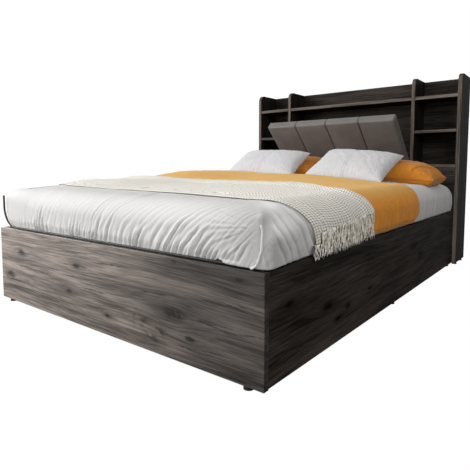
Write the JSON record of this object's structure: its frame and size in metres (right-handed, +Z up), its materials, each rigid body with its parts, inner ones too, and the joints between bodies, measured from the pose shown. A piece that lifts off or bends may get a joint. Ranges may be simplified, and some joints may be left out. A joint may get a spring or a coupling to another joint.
{
  "type": "storage bed",
  "caption": "Double bed with a lift-up slatted platform over a storage box, a bookcase headboard with a tilt-out padded flap, and made-up bedding.",
  "frame": {"origin": "on the floor, below the middle of the whole bed including its headboard", "axes": "+X to the right of someone who stands at the foot and faces the headboard, +Y from the foot to the headboard, +Z up"},
  "size_m": [1.48, 2.28, 1.165],
  "materials": {
    "wood": "matt grey-brown oak laminate",
    "wood_dark": "matt dark brown laminate",
    "plywood": "plain birch plywood and softwood",
    "zinc": "zinc-plated",
    "black_steel": "satin black powder coat",
    "black_plastic": "matt",
    "taupe_fabric": "soft velour weave in taupe",
    "ticking": "knitted mattress cover",
    "sheet_cotton": "light grey cotton",
    "orange_cotton": "washed cotton, warm orange",
    "cream_knit": "loose cream knit with a thin brown-grey check"
  },
  "bodies": {
    "base": {"foot_panel": "wood", "left_side_panel": "wood", "right_side_panel": "wood", "head_end_panel": "wood", "centre_divider": "wood", "cross_divider": "wood", "floor_boards": "wood", "floor_battens": "plywood", "side_bearers": "plywood", "foot_bearer": "plywood", "corner_brackets": "zinc", "bracket_screws": "zinc", "glide_feet": "black_plastic", "left_cheek": "wood", "right_cheek": "wood", "left_upright": "wood", "right_upright": "wood", "bay_lower_panels": "wood_dark", "middle_lower_panel": "wood_dark", "compartment_floor": "wood_dark", "top_shelf_left": "wood", "top_shelf_middle": "wood", "top_shelf_right": "wood", "bay_middle_shelves": "wood", "bay_bottom_shelves": "wood", "back_panel": "wood_dark", "back_upstand": "wood", "headboard_bolts": "zinc", "flap_pivot_pins": "zinc", "lift_mount_plates": "black_steel"},
    "flap": {"flap_board": "plywood", "flap_upholstery": "taupe_fabric", "flap_pivot_plates": "zinc"},
    "lift_links": {"lift_links": "black_steel"},
    "guide_links": {"guide_links": "black_steel"},
    "gas_cylinders": {"gas_cylinders": "black_steel"},
    "gas_rods": {"gas_rods": "zinc"},
    "platform": {"side_tubes": "black_steel", "end_tubes": "black_steel", "centre_tube": "black_steel", "cross_tubes": "black_steel", "slats": "plywood", "slat_holders": "black_plastic", "lift_brackets": "black_steel", "gas_brackets": "black_steel", "retaining_bar": "black_steel", "bar_brackets": "black_steel", "mattress": "ticking", "fitted_sheet": "sheet_cotton", "orange_blanket": "orange_cotton", "knit_throw": "cream_knit", "throw_fringe": "cream_knit", "grey_pillow_left": "sheet_cotton", "grey_pillow_right": "sheet_cotton", "orange_pillow_left": "orange_cotton", "orange_pillow_right": "orange_cotton"}
  },
  "joints": [
    {"name": "link_pivot", "type": "hinge", "parent": "base", "child": "lift_links", "pos_m": [0, 0.47, 0.075], "axis": [1, 0, 0], "range_deg": [0, 95.01]},
    {"name": "platform_pivot", "type": "hinge", "parent": "lift_links", "child": "platform", "pos_m": [0, 0.6, 0.175], "axis": [1, 0, 0], "range_deg": [-131, 0]},
    {"name": "guide_pivot", "type": "hinge", "parent": "base", "child": "guide_links", "pos_m": [0, 0.6127, 0.0577], "axis": [1, 0, 0], "range_deg": [0, 89.85]},
    {"name": "gas_pivot", "type": "hinge", "parent": "base", "child": "gas_cylinders", "pos_m": [0, 0.52, 0.06], "axis": [1, 0, 0], "range_deg": [-22.45, 0]},
    {"name": "rod_slide", "type": "slide", "parent": "gas_cylinders", "child": "gas_rods", "axis": [0, -0.9584, 0.2855], "range_m": [0, 0.2707]},
    {"name": "flap_tilt", "type": "hinge", "parent": "base", "child": "flap", "pos_m": [0, 0.924, 0.579], "axis": [1, 0, 0], "range_deg": [-46, 0]}
  ],
  "couplings": [
    {"joint": "link_pivot", "follows": "platform_pivot", "ratio": -0.72519},
    {"joint": "guide_pivot", "follows": "platform_pivot", "ratio": -0.68581},
    {"joint": "gas_pivot", "follows": "platform_pivot", "ratio": 0.17133},
    {"joint": "rod_slide", "follows": "platform_pivot", "m_per_rad": -0.11839}
  ]
}
